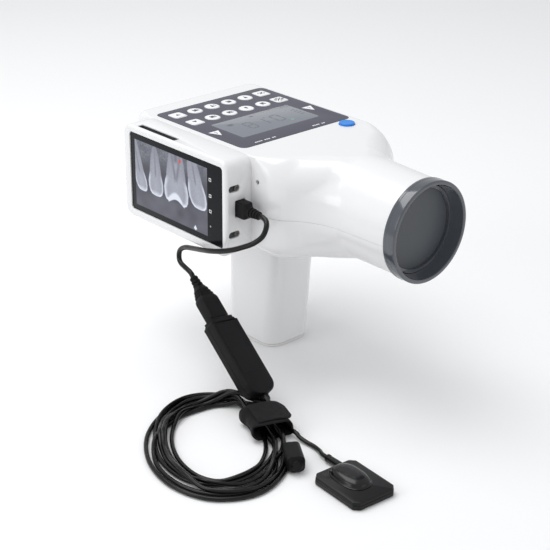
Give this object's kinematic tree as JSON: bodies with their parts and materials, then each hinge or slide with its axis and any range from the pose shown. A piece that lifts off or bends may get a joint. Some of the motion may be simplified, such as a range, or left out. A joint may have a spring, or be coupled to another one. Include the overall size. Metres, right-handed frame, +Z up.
{
  "type": "handheld intraoral x-ray unit",
  "caption": "Hand-held dental x-ray unit with a short cone, a side screen, a keypad deck, a pistol grip and a plugged-in intraoral sensor on a wound lead.",
  "frame": {"origin": "centre of the grip's flat bottom face, on the surface it stands on", "axes": "+Z up the grip, -Y along the beam out of the cone, -X out of the screen"},
  "size_m": [0.2953, 0.3678, 0.2003],
  "materials": {
    "white_shell": "moulded, glossy",
    "slate_ring": "moulded, glossy",
    "grey_window": "fine texture",
    "film": "satin overlay",
    "key": "satin",
    "blue_button": "satin",
    "black_plastic": "satin",
    "cable_rubber": "glossy jacket",
    "strap_fabric": "woven hook and loop",
    "sensor_shell": "satin",
    "screen_glass": "polished",
    "lcd_glass": "polished",
    "display": "glossy",
    "steel": "plated",
    "aluminium": "cast",
    "lead_liner": "dull",
    "board": "solder mask",
    "winding": "varnished",
    "resin": "cast",
    "tube_glass": "clear",
    "battery": "shrink wrap"
  },
  "bodies": {
    "unit": {"upper_shell": "white_shell", "lower_shell": "white_shell", "base_cap": "white_shell", "screen_housing": "white_shell", "cone_ring": "slate_ring", "beam_window": "grey_window", "keypad_film": "film", "lcd_window": "lcd_glass", "lcd_module": "display", "display_panel": "display", "screen_glass": "screen_glass", "base_screw_front": "steel", "base_screw_rear": "steel", "housing_screw_upper": "steel", "housing_screw_lower": "steel", "vent_grille": "black_plastic", "usb_port": "steel", "usb_plug": "black_plastic", "usb_socket": "black_plastic", "sensor_adapter": "black_plastic", "usb_lead": "cable_rubber", "sensor_lead": "cable_rubber", "lead_coil": "cable_rubber", "cable_strap": "strap_fabric", "ferrite_bead": "black_plastic", "sensor": "sensor_shell", "sensor_sleeve": "cable_rubber", "battery_pack": "battery", "battery_board": "board", "tank_body": "aluminium", "tank_lid": "aluminium", "xray_tube": "tube_glass", "tube_cradle": "resin", "hv_transformer": "winding", "multiplier_board": "board", "beam_filter": "aluminium", "collimator": "lead_liner", "control_board": "board", "keypad_board": "board", "screen_board": "board", "exposure_switch": "black_plastic", "screen_tray": "steel"},
    "exposure_button": {"exposure_button": "blue_button"},
    "key_rear_1": {"key_rear_1": "key"},
    "key_rear_2": {"key_rear_2": "key"},
    "key_rear_3": {"key_rear_3": "key"},
    "key_rear_4": {"key_rear_4": "key"},
    "key_rear_5": {"key_rear_5": "key"},
    "key_rear_6": {"key_rear_6": "key"},
    "key_front_1": {"key_front_1": "key"},
    "key_front_2": {"key_front_2": "key"},
    "key_front_3": {"key_front_3": "key"},
    "key_front_4": {"key_front_4": "key"},
    "key_front_5": {"key_front_5": "key"},
    "key_front_6": {"key_front_6": "key"}
  },
  "joints": [
    {"name": "exposure_press", "type": "slide", "parent": "unit", "child": "exposure_button", "axis": [0, 0, -1], "range_m": [0, 0.001], "stiffness_N_per_m": 900},
    {"name": "key_rear_1_press", "type": "slide", "parent": "unit", "child": "key_rear_1", "axis": [0, 0, -1], "range_m": [0, 0.0004], "stiffness_N_per_m": 900},
    {"name": "key_rear_2_press", "type": "slide", "parent": "unit", "child": "key_rear_2", "axis": [0, 0, -1], "range_m": [0, 0.0004], "stiffness_N_per_m": 900},
    {"name": "key_rear_3_press", "type": "slide", "parent": "unit", "child": "key_rear_3", "axis": [0, 0, -1], "range_m": [0, 0.0004], "stiffness_N_per_m": 900},
    {"name": "key_rear_4_press", "type": "slide", "parent": "unit", "child": "key_rear_4", "axis": [0, 0, -1], "range_m": [0, 0.0004], "stiffness_N_per_m": 900},
    {"name": "key_rear_5_press", "type": "slide", "parent": "unit", "child": "key_rear_5", "axis": [0, 0, -1], "range_m": [0, 0.0004], "stiffness_N_per_m": 900},
    {"name": "key_rear_6_press", "type": "slide", "parent": "unit", "child": "key_rear_6", "axis": [0, 0, -1], "range_m": [0, 0.0004], "stiffness_N_per_m": 900},
    {"name": "key_front_1_press", "type": "slide", "parent": "unit", "child": "key_front_1", "axis": [0, 0, -1], "range_m": [0, 0.0004], "stiffness_N_per_m": 900},
    {"name": "key_front_2_press", "type": "slide", "parent": "unit", "child": "key_front_2", "axis": [0, 0, -1], "range_m": [0, 0.0004], "stiffness_N_per_m": 900},
    {"name": "key_front_3_press", "type": "slide", "parent": "unit", "child": "key_front_3", "axis": [0, 0, -1], "range_m": [0, 0.0004], "stiffness_N_per_m": 900},
    {"name": "key_front_4_press", "type": "slide", "parent": "unit", "child": "key_front_4", "axis": [0, 0, -1], "range_m": [0, 0.0004], "stiffness_N_per_m": 900},
    {"name": "key_front_5_press", "type": "slide", "parent": "unit", "child": "key_front_5", "axis": [0, 0, -1], "range_m": [0, 0.0004], "stiffness_N_per_m": 900},
    {"name": "key_front_6_press", "type": "slide", "parent": "unit", "child": "key_front_6", "axis": [0, 0, -1], "range_m": [0, 0.0004], "stiffness_N_per_m": 900}
  ]
}
